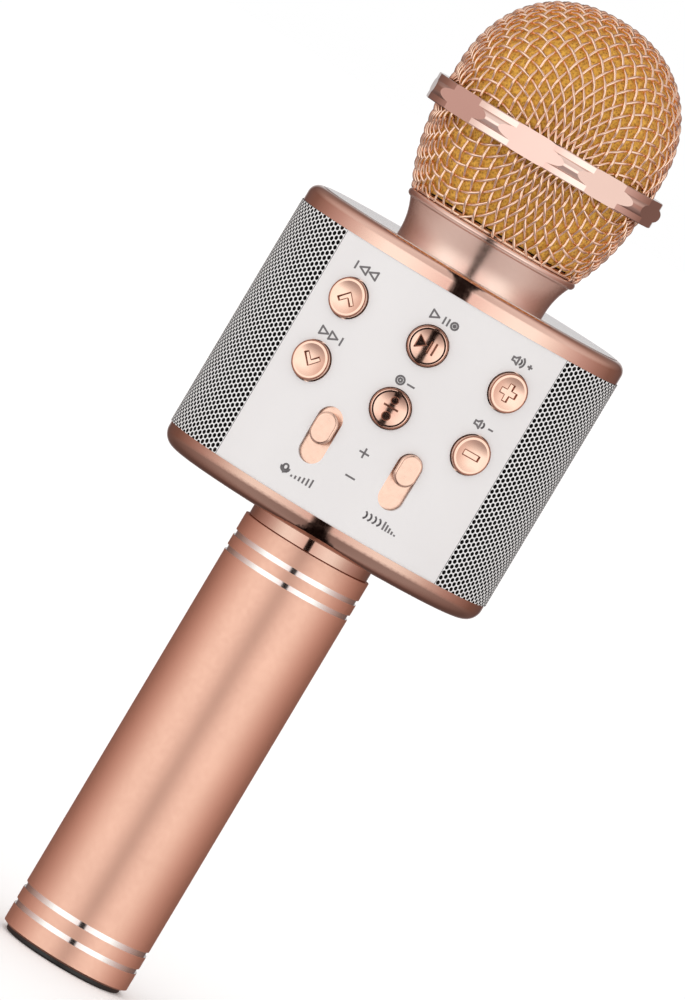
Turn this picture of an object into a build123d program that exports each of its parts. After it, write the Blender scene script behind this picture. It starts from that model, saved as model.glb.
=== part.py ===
"""A wireless karaoke microphone with its own speakers, in millimetres.

The origin is the centre of the base's underside. +Z runs along the microphone to its head, the
control panel faces -Y, and +X is on the right of someone who faces the panel.
"""

from build123d import *
import math
import os

os.makedirs("parts", exist_ok=True)

# Heights along the microphone
cap_top = 1.2
handle_top = 107.9
body_bottom = 112.0
panel_bottom = 117.05
panel_top = 174.55
body_top = 179.2
cap_face = 179.4
collar_top = 189.2
band_bottom = 208.2
band_top = 214.4
dome_centre = 217.5
total_length = 245.0

# Handle
handle_radius = 15.9
handle_bore = 14.2
groove_depth = 0.4
grooves = ((6.05, 7.25), (10.3, 11.6), (98.55, 99.7), (102.3, 103.5))
end_cap_radius = 14.6
neck_ring_radius = 15.2
coupler_radius = 12.2
wire_bore = 6.0

# Body: an elliptical drum
body_half_width = 40.6
body_half_depth = 33.9
skin_inset = 0.2
skin_half_width = body_half_width - skin_inset
skin_half_depth = body_half_depth - skin_inset
panel_wall = 1.2
grille_wall = 0.8
grille_half_width = 40.85
grille_half_depth = 33.4
panel_half_width = 28.1
panel_height = panel_top - panel_bottom
rim_wall = 2.0
rim_floor = 2.0
bottom_round = 3.8
top_round = 2.5
cap_half_width = 38.0
cap_half_depth = 31.3
chassis_half_width = 38.3
chassis_half_depth = 31.6
chassis_wall = 1.7
chassis_floor_top = 115.3
chassis_bottom = 114.1
chassis_top = 174.4
bulkhead_inner = 28.2
bulkhead_outer = 30.0

# Head
head_radius = 26.5
lower_centre = 211.3
lower_semi_axis = 37.5
dome_semi_axis = total_length - dome_centre
dome_power = 2.2
basket_wall = 1.0
basket_bottom = 189.3
basket_split = 211.3
foam_gap = 0.4
foam_bottom = 190.5
foam_cavity = 14.0
thread_gap = 0.3
collar_foot_radius = 18.75
collar_bead_root = 20.55
collar_bead_bottom = 187.4
collar_lip_radius = 21.45
collar_neck_radius = 15.9
socket_radius = 18.0
socket_floor = 183.0
band_flat = 28.65
band_edge_radius = 29.03
band_crown_radius = 29.85
band_crown_half_height = 1.55
facets = 9
facet_turn = 3.8

# Controls
button_radius = 4.575
button_hole = 4.8
button_rise = 0.9
flange_radius = 5.6
flange_depth = 1.7
flange_thickness = 0.7
stem_end = 3.4
switch_depth = 4.1
key_board_depth = 7.5
board_thickness = 1.2
dish_depth = 0.45
dish_radius = 3.7
icon_depth = 0.62
icon_line = 0.4
upper_row = 161.9
lower_row = 145.9
side_column = 20.35
slot_width = 6.0
slot_length = 13.8
slot_height = 133.0
slot_column = 10.2
knob_width = 5.3
knob_length = 7.6
knob_rise = 1.3
mic_knob_height = 134.7
echo_knob_height = 136.0

# Speakers, on an axis along X
speaker_height = 145.8
speaker_radius = 18.0
magnet_radius = 10.5

# Battery
cell_radius = 9.1
cell_bottom = 22.0
cell_top = 87.0
cradle_radius = 13.6
cradle_bottom = 14.0
cradle_top = 95.0

# Rear ports
port_floor = 121.0
port_height = 125.0
jack_bore = 1.8
switch_height = 138.0


def body_plane(x, z, depth=0.0, front=True):
    """A plane facing out of the drum's skin at x and z, sunk by depth below it."""
    side = -1 if front else 1
    y = side * skin_half_depth * math.sqrt(1 - (x / skin_half_width) ** 2)
    normal = Vector(x / skin_half_width**2, y / skin_half_depth**2, 0).normalized()
    origin = Vector(x, y, z) - normal * depth
    return Plane(origin=origin, x_dir=Vector(-normal.Y, normal.X, 0), z_dir=normal)


def lower_radius(z, inset=0.0):
    """The lower basket's radius at height z, moved in by inset."""
    return head_radius * math.sqrt(1 - ((z - lower_centre) / lower_semi_axis) ** 2) - inset


def dome_point(angle, inset=0.0):
    """A point of the dome's superellipse, from 0 at its widest to 90 degrees at the top."""
    power = 2 / dome_power
    across = (head_radius - inset) * max(math.cos(math.radians(angle)), 0) ** power
    up = (dome_semi_axis - inset) * math.sin(math.radians(angle)) ** power
    return (across, dome_centre + up)


def dome_points(inset=0.0):
    """The dome's outline from its widest circle to the axis."""
    return [dome_point(angle, inset) for angle in (0, 12, 26, 41, 56, 70, 81)] + [
        (0.0, total_length - inset)
    ]


# ---------------------------------------------------------------- handle

with BuildPart() as end_cap:
    with BuildSketch(Plane.XZ):
        with BuildLine():
            Polyline(
                (0, 0), (end_cap_radius, 0), (end_cap_radius, cap_top), (14.0, cap_top),
                (14.0, 9.0), (12.6, 9.0), (12.6, 2.6), (0, 2.6), close=True,
            )
        make_face()
    revolve(axis=Axis.Z)
    underside = end_cap.faces().sort_by(Axis.Z)[0]
    fillet(underside.edges(), radius=0.5)
end_cap.part.label = "end_cap"
export_step(end_cap.part, "parts/end_cap.step")

with BuildPart() as handle_tube:
    with BuildSketch(Plane.XY.offset(cap_top)):
        Circle(handle_radius)
        Circle(handle_bore, mode=Mode.SUBTRACT)
    extrude(amount=handle_top - cap_top)
    lower_edge = handle_tube.edges().filter_by(GeomType.CIRCLE).group_by(Axis.Z)[0].sort_by(SortBy.RADIUS)[-1]
    chamfer(lower_edge, length=0.5, length2=0.9)
    for low, high in grooves:
        with BuildSketch(Plane.XY.offset(low)):
            Circle(handle_radius + 1)
            Circle(handle_radius - groove_depth, mode=Mode.SUBTRACT)
        extrude(amount=high - low, mode=Mode.SUBTRACT)
handle_tube.part.label = "handle_tube"
export_step(handle_tube.part, "parts/handle_tube.step")

with BuildPart() as neck_ring:
    with BuildSketch(Plane.XY.offset(handle_top)):
        Circle(neck_ring_radius)
        Circle(coupler_radius, mode=Mode.SUBTRACT)
    extrude(amount=body_bottom - handle_top)
    outer_edges = neck_ring.edges().filter_by(GeomType.CIRCLE).filter_by(
        lambda edge: edge.radius > neck_ring_radius - 0.1
    )
    fillet(outer_edges, radius=0.3)
neck_ring.part.label = "neck_ring"
export_step(neck_ring.part, "parts/neck_ring.step")

# The coupler plugs into the handle and clamps the handle, the rim and the chassis together.
coupler_bottom = 96.0
coupler_flange_radius = 17.0
coupler_flange_top = 117.4
screw_circle = 14.7
screw_radius = 1.2

with BuildPart() as handle_coupler:
    with BuildSketch(Plane.XZ):
        with BuildLine():
            Polyline(
                (wire_bore, coupler_bottom), (handle_bore, coupler_bottom), (handle_bore, handle_top),
                (coupler_radius, handle_top), (coupler_radius, chassis_floor_top),
                (coupler_flange_radius, chassis_floor_top), (coupler_flange_radius, coupler_flange_top),
                (wire_bore, coupler_flange_top), close=True,
            )
        make_face()
    revolve(axis=Axis.Z)
    with BuildSketch(Plane.XY.offset(chassis_floor_top)):
        with PolarLocations(screw_circle, 3):
            Circle(screw_radius)
    extrude(amount=coupler_flange_top - chassis_floor_top, mode=Mode.SUBTRACT)
handle_coupler.part.label = "handle_coupler"
export_step(handle_coupler.part, "parts/handle_coupler.step")

with BuildPart() as coupler_screws:
    with BuildSketch(Plane.XY.offset(body_bottom + 0.6)):
        with PolarLocations(screw_circle, 3):
            Circle(screw_radius)
    extrude(amount=coupler_flange_top - body_bottom - 0.6)
    with BuildSketch(Plane.XY.offset(coupler_flange_top)):
        with PolarLocations(screw_circle, 3):
            Circle(2.2)
            RegularPolygon(0.9, 6, mode=Mode.SUBTRACT)
    extrude(amount=1.3)
coupler_screws.part.label = "coupler_screws"
export_step(coupler_screws.part, "parts/coupler_screws.step")

# ---------------------------------------------------------------- battery

with BuildPart() as battery_cell:
    with BuildSketch(Plane.XY.offset(cell_bottom)):
        Circle(cell_radius)
    extrude(amount=cell_top - cell_bottom)
    fillet(battery_cell.edges().filter_by(GeomType.CIRCLE), radius=0.6)
    with BuildSketch(Plane.XY.offset(cell_top)):
        Circle(3.0)
    extrude(amount=1.0)
battery_cell.part.label = "battery_cell"
export_step(battery_cell.part, "parts/battery_cell.step")

with BuildPart() as battery_cradle:
    with BuildSketch(Plane.XY.offset(cradle_bottom)):
        Circle(cradle_radius)
        Circle(cell_radius + 0.3, mode=Mode.SUBTRACT)
        with Locations((0, -cradle_radius)):
            Rectangle(4 * cradle_radius, 2 * cradle_radius - 6, mode=Mode.SUBTRACT)
    extrude(amount=cradle_top - cradle_bottom)
    for wall in (cradle_bottom, cradle_top - 2.0):
        with BuildSketch(Plane.XY.offset(wall)):
            Circle(cradle_radius - 1)
            with Locations((0, -cradle_radius - 4)):
                Rectangle(4 * cradle_radius, 2 * cradle_radius, mode=Mode.SUBTRACT)
        extrude(amount=2.0)
battery_cradle.part.label = "battery_cradle"
export_step(battery_cradle.part, "parts/battery_cradle.step")

# Leaf spring under the cell: a foot on the cradle's end wall, folded back over itself.
with BuildPart() as battery_spring:
    with BuildSketch(Plane.XZ):
        with BuildLine():
            Polyline(
                (-3.5, 16.1), (4.0, 16.1), (4.0, 16.5), (-2.6, 16.5), (3.4, 21.5), (-3.0, 21.5),
                (-3.0, 21.9), (4.2, 21.9), (4.2, 21.3), (-1.6, 16.5), (-3.5, 16.5), close=True,
            )
        make_face()
    extrude(amount=3.0, both=True)
battery_spring.part.label = "battery_spring"
export_step(battery_spring.part, "parts/battery_spring.step")

with BuildPart() as battery_contact:
    with BuildSketch(Plane.XY.offset(cell_top + 1.0)):
        Rectangle(9.0, 7.0)
    extrude(amount=0.5)
    with BuildSketch(Plane.XY.offset(cell_top + 1.5)):
        Rectangle(4.0, 3.0)
    extrude(amount=cradle_top - 2.0 - cell_top - 1.5)
    fillet(battery_contact.edges().filter_by(Axis.Z), radius=0.6)
battery_contact.part.label = "battery_contact"
export_step(battery_contact.part, "parts/battery_contact.step")

# ---------------------------------------------------------------- drum

with BuildPart() as bottom_rim:
    with BuildSketch(Plane.XY.offset(body_bottom)):
        Ellipse(body_half_width, body_half_depth)
    extrude(amount=panel_bottom - body_bottom)
    fillet(bottom_rim.edges().group_by(Axis.Z)[0], radius=bottom_round)
    with BuildSketch(Plane.XY.offset(body_bottom + rim_floor)):
        Ellipse(body_half_width - rim_wall, body_half_depth - rim_wall)
    extrude(amount=panel_bottom - body_bottom, mode=Mode.SUBTRACT)
    with BuildSketch(Plane.XY.offset(body_bottom)):
        Circle(coupler_radius)
    extrude(amount=rim_floor, mode=Mode.SUBTRACT)
    with BuildSketch(Plane.XY.offset(body_bottom + 0.6)):
        with PolarLocations(screw_circle, 3):
            Circle(screw_radius)
    extrude(amount=rim_floor, mode=Mode.SUBTRACT)
bottom_rim.part.label = "bottom_rim"
export_step(bottom_rim.part, "parts/bottom_rim.step")

boss_places = [(sx * 29.1, sy * 17.2) for sx in (-1, 1) for sy in (-1, 1)]
boss_radius = 2.4
ledge_top = 176.0
cap_underside = 177.4

with BuildPart() as top_rim:
    with BuildSketch(Plane.XY.offset(panel_top)):
        Ellipse(body_half_width, body_half_depth)
    extrude(amount=body_top - panel_top)
    fillet(top_rim.edges().group_by(Axis.Z)[-1], radius=top_round)
    with BuildSketch(Plane.XY.offset(panel_top)):
        Ellipse(32.5, 25.8)
    extrude(amount=ledge_top - panel_top, mode=Mode.SUBTRACT)
    with BuildSketch(Plane.XY.offset(ledge_top)):
        Ellipse(cap_half_width, cap_half_depth)
    extrude(amount=body_top - ledge_top, mode=Mode.SUBTRACT)
    with BuildSketch(Plane.XY.offset(panel_top)):
        with Locations(*boss_places):
            Circle(1.05)
    extrude(amount=ledge_top - panel_top, mode=Mode.SUBTRACT)
top_rim.part.label = "top_rim"
export_step(top_rim.part, "parts/top_rim.step")

with BuildPart() as top_cap:
    with BuildSketch(Plane.XY.offset(cap_underside)):
        Ellipse(cap_half_width - 0.15, cap_half_depth - 0.15)
    extrude(amount=cap_face - cap_underside)
    fillet(top_cap.edges().group_by(Axis.Z)[-1], radius=0.5)
    with BuildSketch(Plane.XY.offset(cap_underside)):
        Circle(collar_neck_radius)
    extrude(amount=cap_face - cap_underside, mode=Mode.SUBTRACT)
top_cap.part.label = "top_cap"
export_step(top_cap.part, "parts/top_cap.step")

frame_ring_height = 3.0
with BuildPart() as body_frame:
    # floor
    with BuildSketch(Plane.XY.offset(chassis_bottom)):
        Ellipse(chassis_half_width, chassis_half_depth)
        Circle(coupler_radius, mode=Mode.SUBTRACT)
        with PolarLocations(screw_circle, 3):
            Circle(screw_radius, mode=Mode.SUBTRACT)
    extrude(amount=chassis_floor_top - chassis_bottom)
    # wall, opened at the front, the rear and both sides
    with BuildSketch(Plane.XY.offset(chassis_floor_top)):
        Ellipse(chassis_half_width, chassis_half_depth)
        Ellipse(chassis_half_width - chassis_wall, chassis_half_depth - chassis_wall, mode=Mode.SUBTRACT)
    extrude(amount=chassis_top - chassis_floor_top)
    window_bottom = chassis_floor_top + frame_ring_height
    window_height = chassis_top - frame_ring_height - window_bottom
    with BuildSketch(Plane.XY.offset(window_bottom)):
        Rectangle(2 * 26.8, 2 * body_half_depth)
        with Locations((-bulkhead_outer, 0)):
            Rectangle(20, 2 * body_half_depth, align=(Align.MAX, Align.CENTER))
        with Locations((bulkhead_outer, 0)):
            Rectangle(20, 2 * body_half_depth, align=(Align.MIN, Align.CENTER))
    extrude(amount=window_height, mode=Mode.SUBTRACT)
    # two bulkheads, which carry the speakers
    with BuildSketch(Plane.XY.offset(chassis_floor_top)):
        for side in (-1, 1):
            with Locations((side * (bulkhead_inner + bulkhead_outer) / 2, 0)):
                Rectangle(bulkhead_outer - bulkhead_inner, 39.0)
        with Locations(*boss_places):
            Circle(boss_radius)
    extrude(amount=chassis_top - chassis_floor_top)
    with BuildSketch(Plane.YZ.offset(-bulkhead_outer - 5)):
        with Locations((0, speaker_height)):
            Circle(16.8)
    extrude(amount=2 * bulkhead_outer + 10, mode=Mode.SUBTRACT)
    # room for the speakers' flanges beside the bosses, and the bosses' screw holes
    for side in (-1, 1):
        with BuildSketch(Plane.YZ.offset(side * bulkhead_outer)):
            with Locations((0, speaker_height)):
                Circle(speaker_radius + 0.3)
        extrude(amount=side * 6, mode=Mode.SUBTRACT)
    with BuildSketch(Plane.XY.offset(chassis_top)):
        with Locations(*boss_places):
            Circle(0.8)
    extrude(amount=-6.0, mode=Mode.SUBTRACT)
body_frame.part.label = "body_frame"
export_step(body_frame.part, "parts/body_frame.step")

with BuildPart() as frame_screws:
    with BuildSketch(Plane.XY.offset(chassis_top - 5.5)):
        with Locations(*boss_places):
            Circle(0.8)
    extrude(amount=5.5 + ledge_top - chassis_top)
    with BuildSketch(Plane.XY.offset(ledge_top)):
        with Locations(*boss_places):
            Circle(1.7)
            RegularPolygon(0.7, 6, mode=Mode.SUBTRACT)
    extrude(amount=1.1)
frame_screws.part.label = "frame_screws"
export_step(frame_screws.part, "parts/frame_screws.step")

# The front panel, with round holes for six buttons and two slots for the sliders
button_places = {
    "previous_button": (-side_column, upper_row),
    "next_button": (-side_column, lower_row),
    "play_pause_button": (0.0, upper_row),
    "record_button": (0.0, lower_row),
    "volume_up_button": (side_column, upper_row),
    "volume_down_button": (side_column, lower_row),
}
slider_places = {
    "mic_volume_slider": (-slot_column, mic_knob_height),
    "echo_slider": (slot_column, echo_knob_height),
}
panel_drill = 6.0

with BuildPart() as front_panel:
    with BuildSketch(Plane.XY.offset(panel_bottom)):
        Ellipse(skin_half_width, skin_half_depth)
        Ellipse(skin_half_width - panel_wall, skin_half_depth - panel_wall, mode=Mode.SUBTRACT)
        Rectangle(2 * panel_half_width, 50, align=(Align.CENTER, Align.MAX), mode=Mode.INTERSECT)
    extrude(amount=panel_height)
    for x, z in button_places.values():
        with BuildSketch(body_plane(x, z, -1.0)):
            Circle(button_hole)
        extrude(amount=-panel_drill, mode=Mode.SUBTRACT)
    for x, _ in slider_places.values():
        with BuildSketch(body_plane(x, slot_height, -1.0)):
            SlotOverall(slot_length, slot_width, rotation=90)
        extrude(amount=-panel_drill, mode=Mode.SUBTRACT)
front_panel.part.label = "front_panel"
export_step(front_panel.part, "parts/front_panel.step")

with BuildPart() as rear_panel:
    with BuildSketch(Plane.XY.offset(panel_bottom)):
        Ellipse(skin_half_width, skin_half_depth)
        Ellipse(skin_half_width - panel_wall, skin_half_depth - panel_wall, mode=Mode.SUBTRACT)
        Rectangle(2 * panel_half_width, 50, align=(Align.CENTER, Align.MIN), mode=Mode.INTERSECT)
    extrude(amount=panel_height)
    with BuildSketch(Plane.XZ.offset(-20)):
        with Locations((-13.0, port_height)):
            RectangleRounded(9.6, 4.8, 1.2)
        with Locations((0, port_height)):
            Circle(3.0)
        with Locations((13.0, port_height)):
            RectangleRounded(12.6, 2.6, 0.6)
        with Locations((1.25, switch_height)):
            SlotOverall(8.6, 3.6)
    extrude(amount=-20, mode=Mode.SUBTRACT)
rear_panel.part.label = "rear_panel"
export_step(rear_panel.part, "parts/rear_panel.step")

for side, name in ((-1, "left"), (1, "right")):
    edge = Align.MIN if side > 0 else Align.MAX
    with BuildPart() as grille:
        with BuildSketch(Plane.XY.offset(panel_bottom)):
            Ellipse(grille_half_width, grille_half_depth)
            Ellipse(grille_half_width - grille_wall, grille_half_depth - grille_wall, mode=Mode.SUBTRACT)
            with Locations((side * (panel_half_width + 0.1), 0)):
                Rectangle(20, 80, align=(edge, Align.CENTER), mode=Mode.INTERSECT)
        extrude(amount=panel_height)
    grille.part.label = f"grille_{name}"
    export_step(grille.part, f"parts/grille_{name}.step")

    cloth_depth = grille_wall + 0.4
    with BuildPart() as grille_cloth:
        with BuildSketch(Plane.XY.offset(panel_bottom + 1.4)):
            Ellipse(grille_half_width - grille_wall, grille_half_depth - grille_wall)
            Ellipse(grille_half_width - cloth_depth, grille_half_depth - cloth_depth, mode=Mode.SUBTRACT)
            with Locations((side * (panel_half_width + 0.4), 0)):
                Rectangle(20, 80, align=(edge, Align.CENTER), mode=Mode.INTERSECT)
        extrude(amount=panel_height - 2.8)
    grille_cloth.part.label = f"grille_cloth_{name}"
    export_step(grille_cloth.part, f"parts/grille_cloth_{name}.step")

# ---------------------------------------------------------------- buttons


def outline_of(shape):
    """The shape's outline as a line of the engraving's width."""
    return shape - offset(shape, amount=-icon_line, kind=Kind.INTERSECTION)


def bar(width, height, x=0.0, y=0.0):
    """A rectangle of the engraving."""
    return Pos(x, y) * Rectangle(width, height, mode=Mode.PRIVATE)


def icon_sketch(name):
    """The engraving on the button of that name."""
    if name in ("previous_button", "next_button"):
        turn = 0 if name == "previous_button" else 180
        points = [(-2.3, -0.9), (0, 1.4), (2.3, -0.9), (1.5, -1.6), (0, -0.1), (-1.5, -1.6)]
        return outline_of(Rot(0, 0, turn) * Polygon(*points, align=None, mode=Mode.PRIVATE))
    if name == "volume_up_button":
        return outline_of(bar(4.2, 1.3) + bar(1.3, 4.2))
    if name == "volume_down_button":
        return outline_of(bar(4.2, 1.3))
    if name == "play_pause_button":
        triangle = Polygon((-2.6, -1.6), (-2.6, 1.6), (-0.3, 0), align=None, mode=Mode.PRIVATE)
        return outline_of(triangle) + bar(0.5, 3.0, 0.6, 0) + bar(0.5, 3.0, 1.7, 0)
    dot = Pos(0, 2.0) * Circle(0.85, mode=Mode.PRIVATE)
    ring = Pos(0, -1.9) * Circle(1.0, mode=Mode.PRIVATE)
    return outline_of(dot) + bar(3.6, 0.45, 0, 0.3) + outline_of(ring)


dish_curve = (dish_radius**2 + dish_depth**2) / (2 * dish_depth)
for name, (x, z) in button_places.items():
    with BuildPart() as button:
        with BuildSketch(body_plane(x, z, -button_rise)):
            Circle(button_radius)
        extrude(amount=-button_rise - flange_depth)
        outer_edge = button.edges().filter_by(GeomType.CIRCLE).sort_by(
            lambda edge: (edge.center() - body_plane(x, z, 50).origin).length
        )[-1]
        fillet(outer_edge, radius=0.5)
        # the dished face inside its raised edge, and its engraving
        with Locations(body_plane(x, z, dish_depth - button_rise - dish_curve).origin):
            Sphere(dish_curve, mode=Mode.SUBTRACT)
        with BuildSketch(body_plane(x, z, -button_rise)):
            add(icon_sketch(name))
        extrude(amount=-icon_depth, mode=Mode.SUBTRACT)
        with BuildSketch(body_plane(x, z, flange_depth)):
            Circle(flange_radius)
        extrude(amount=-flange_thickness)
        with BuildSketch(body_plane(x, z, flange_depth + flange_thickness)):
            Circle(1.5)
        extrude(amount=flange_depth + flange_thickness - stem_end)
    button.part.label = name
    export_step(button.part, f"parts/{name}.step")

# Each slider is one moulding: a knob, a shield behind the slot, and a stem to its potentiometer.
shield_depth = 1.5
shield_thickness = 0.6
stem_depth = 5.0
for name, (x, z) in slider_places.items():
    with BuildPart() as slider:
        with BuildSketch(body_plane(x, z, shield_depth)):
            RectangleRounded(8.0, 20.0, 1.0)
        extrude(amount=-shield_thickness)
        with BuildSketch(body_plane(x, z, -knob_rise)):
            SlotOverall(knob_length, knob_width, rotation=90)
        extrude(amount=-knob_rise - shield_depth)
        crown = slider.faces().sort_by(
            lambda face: (face.center() - body_plane(x, z, 50).origin).length
        )[-1]
        fillet(crown.edges(), radius=0.6)
        with BuildSketch(body_plane(x, z, shield_depth + shield_thickness)):
            Rectangle(3.0, 2.0)
        extrude(amount=shield_depth + shield_thickness - stem_depth)
    slider.part.label = name
    export_step(slider.part, f"parts/{name}.step")

pot_depth = 5.4
with BuildPart() as slider_pots:
    for x, _ in slider_places.values():
        with BuildSketch(body_plane(x, 130.5, pot_depth)):
            Rectangle(7.5, 17.0)
            Rectangle(1.6, 11.0, mode=Mode.SUBTRACT)
        extrude(amount=-3.0)
        with BuildSketch(body_plane(x, 130.5, pot_depth + 3.0)):
            Rectangle(7.5, 17.0)
        extrude(amount=-0.6)
slider_pots.part.label = "slider_pots"
export_step(slider_pots.part, "parts/slider_pots.step")

with BuildPart() as slider_board:
    with BuildSketch(Plane.XZ.offset(22.6)):
        with Locations((0, 130.0)):
            Rectangle(30.0, 18.5)
    extrude(amount=-board_thickness)
slider_board.part.label = "slider_board"
export_step(slider_board.part, "parts/slider_board.step")

board_middle = (upper_row + lower_row) / 2
with BuildPart() as key_board_centre:
    with BuildSketch(body_plane(0, board_middle + 0.6, key_board_depth)):
        RectangleRounded(15.0, 25.0, 1.0)
    extrude(amount=-board_thickness)
key_board_centre.part.label = "key_board_centre"
export_step(key_board_centre.part, "parts/key_board_centre.step")

with BuildPart() as side_key_boards:
    for x in (-side_column, side_column):
        with BuildSketch(body_plane(x, board_middle + 0.6, key_board_depth)):
            RectangleRounded(11.0, 25.0, 1.0)
        extrude(amount=-board_thickness)
side_key_boards.part.label = "side_key_boards"
export_step(side_key_boards.part, "parts/side_key_boards.step")

with BuildPart() as tact_switches:
    for x, z in button_places.values():
        with BuildSketch(body_plane(x, z, switch_depth)):
            Circle(1.7)
        extrude(amount=-0.5)
        with BuildSketch(body_plane(x, z, switch_depth + 0.5)):
            Rectangle(6.0, 6.0)
        extrude(amount=switch_depth + 0.5 - key_board_depth)
tact_switches.part.label = "tact_switches"
export_step(tact_switches.part, "parts/tact_switches.step")

# ---------------------------------------------------------------- boards and ports

main_board_front = 23.5
with BuildPart() as main_board:
    with BuildSketch(Plane.XZ.offset(-main_board_front)):
        with Locations((0, 150.0)):
            RectangleRounded(44.0, 42.0, 1.5)
            with GridLocations(38.0, 36.0, 2, 2):
                Circle(1.1, mode=Mode.SUBTRACT)
    extrude(amount=-board_thickness)
main_board.part.label = "main_board"
export_step(main_board.part, "parts/main_board.step")

with BuildPart() as board_chips:
    for x, z, width, height, thickness in (
        (-8, 155, 10.0, 10.0, 1.4),
        (9, 158, 7.0, 7.0, 1.0),
        (8, 140, 5.0, 6.0, 1.6),
        (-12, 138, 4.0, 5.0, 1.6),
    ):
        with BuildSketch(Plane.XZ.offset(-main_board_front)):
            with Locations((x, z)):
                Rectangle(width, height)
        extrude(amount=thickness)
board_chips.part.label = "board_chips"
export_step(board_chips.part, "parts/board_chips.step")

with BuildPart() as port_board:
    with BuildSketch(Plane.XY.offset(port_floor)):
        with Locations((0, 19.0)):
            Rectangle(40.0, 14.0)
    extrude(amount=board_thickness)
port_board.part.label = "port_board"
export_step(port_board.part, "parts/port_board.step")

port_bottom = port_floor + board_thickness
with BuildPart() as usb_socket:
    with BuildSketch(Plane.XZ.offset(-24.0)):
        with Locations((-13.0, port_height)):
            RectangleRounded(8.6, 3.4, 0.9)
            RectangleRounded(7.8, 2.6, 0.6, mode=Mode.SUBTRACT)
    extrude(amount=-7.2)
    with BuildSketch(Plane.XZ.offset(-24.0)):
        with Locations((-13.0, port_height)):
            RectangleRounded(8.6, 3.4, 0.9)
    extrude(amount=1.0)
    with BuildSketch(Plane.XZ.offset(-24.0)):
        with Locations((-13.0, port_height)):
            Rectangle(5.6, 0.7)
    extrude(amount=-5.5)
    with BuildSketch(Plane.XY.offset(port_bottom)):
        with Locations((-13.0, 24.0)):
            Rectangle(6.0, 2.0)
    extrude(amount=1.2)
usb_socket.part.label = "usb_socket"
export_step(usb_socket.part, "parts/usb_socket.step")

jack_length = 14.0
jack_mouth = 33.2
with BuildPart() as audio_jack:
    with BuildSketch(Plane.XZ.offset(-jack_mouth)):
        with Locations((0, port_height)):
            Circle(2.8)
    extrude(amount=3.0)
    with BuildSketch(Plane.XZ.offset(3.0 - jack_mouth)):
        with Locations((0, port_height)):
            Rectangle(6.6, 5.6)
    extrude(amount=13.0)
    with BuildSketch(Plane.XZ.offset(-jack_mouth)):
        with Locations((0, port_height)):
            Circle(jack_bore)
    extrude(amount=jack_length, mode=Mode.SUBTRACT)
audio_jack.part.label = "audio_jack"
export_step(audio_jack.part, "parts/audio_jack.step")

with BuildPart() as card_slot:
    with BuildSketch(Plane.XZ.offset(-15.0)):
        with Locations((13.0, port_height)):
            Rectangle(14.0, 2.2)
            Rectangle(11.2, 1.0, mode=Mode.SUBTRACT)
    extrude(amount=-13.0)
    with BuildSketch(Plane.XZ.offset(-15.0)):
        with Locations((13.0, port_height)):
            Rectangle(14.0, 2.2)
    extrude(amount=1.0)
    with BuildSketch(Plane.XY.offset(port_bottom)):
        with Locations((13.0, 20.0)):
            Rectangle(12.0, 8.0)
    extrude(amount=port_height - 1.1 - port_bottom)
card_slot.part.label = "card_slot"
export_step(card_slot.part, "parts/card_slot.step")

power_face = 31.4
with BuildPart() as power_switch_body:
    with BuildSketch(Plane.XZ.offset(-main_board_front - board_thickness)):
        with Locations((1.25, switch_height)):
            Rectangle(12.0, 5.5)
    extrude(amount=main_board_front + board_thickness - power_face)
    with BuildSketch(Plane.XZ.offset(-power_face)):
        with Locations((1.25, switch_height)):
            Rectangle(6.5, 2.6)
    extrude(amount=2.0, mode=Mode.SUBTRACT)
power_switch_body.part.label = "power_switch_body"
export_step(power_switch_body.part, "parts/power_switch_body.step")

knob_face = skin_half_depth + button_rise
with BuildPart() as power_switch_knob:
    with BuildSketch(Plane.XZ.offset(-knob_face)):
        with Locations((0, switch_height)):
            SlotOverall(5.4, 3.0)
    extrude(amount=knob_face - power_face - 0.4)
    back_face = power_switch_knob.faces().sort_by(Axis.Y)[-1]
    fillet(back_face.edges(), radius=0.4)
    with BuildSketch(Plane.XZ.offset(-power_face - 0.4)):
        with Locations((0, switch_height)):
            Rectangle(3.0, 1.6)
    extrude(amount=1.4)
    for x in (-1.0, 0.0, 1.0):
        with BuildSketch(Plane.XZ.offset(-knob_face)):
            with Locations((x, switch_height)):
                Rectangle(0.35, 2.0)
        extrude(amount=0.3, mode=Mode.SUBTRACT)
power_switch_knob.part.label = "power_switch_knob"
export_step(power_switch_knob.part, "parts/power_switch_knob.step")

# ---------------------------------------------------------------- speakers

speaker_axis = Axis((0, 0, speaker_height), (1, 0, 0))


def dome_arc(edge_along, edge_across, crown_along):
    """Three points of an arc centred on the speaker's axis, from its edge to its crown."""
    rise = crown_along - edge_along
    radius = (edge_across**2 + rise**2) / (2 * rise)
    half_angle = math.asin(edge_across / radius) / 2
    centre = crown_along - radius
    middle = (centre + radius * math.cos(half_angle), radius * math.sin(half_angle))
    return [(edge_along, edge_across), middle, (crown_along, 0)]


def speaker_profile(side, points):
    """Turns (distance along X, distance from the speaker's axis) into points of the XZ plane."""
    return [(side * along, speaker_height + across) for along, across in points]


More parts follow.
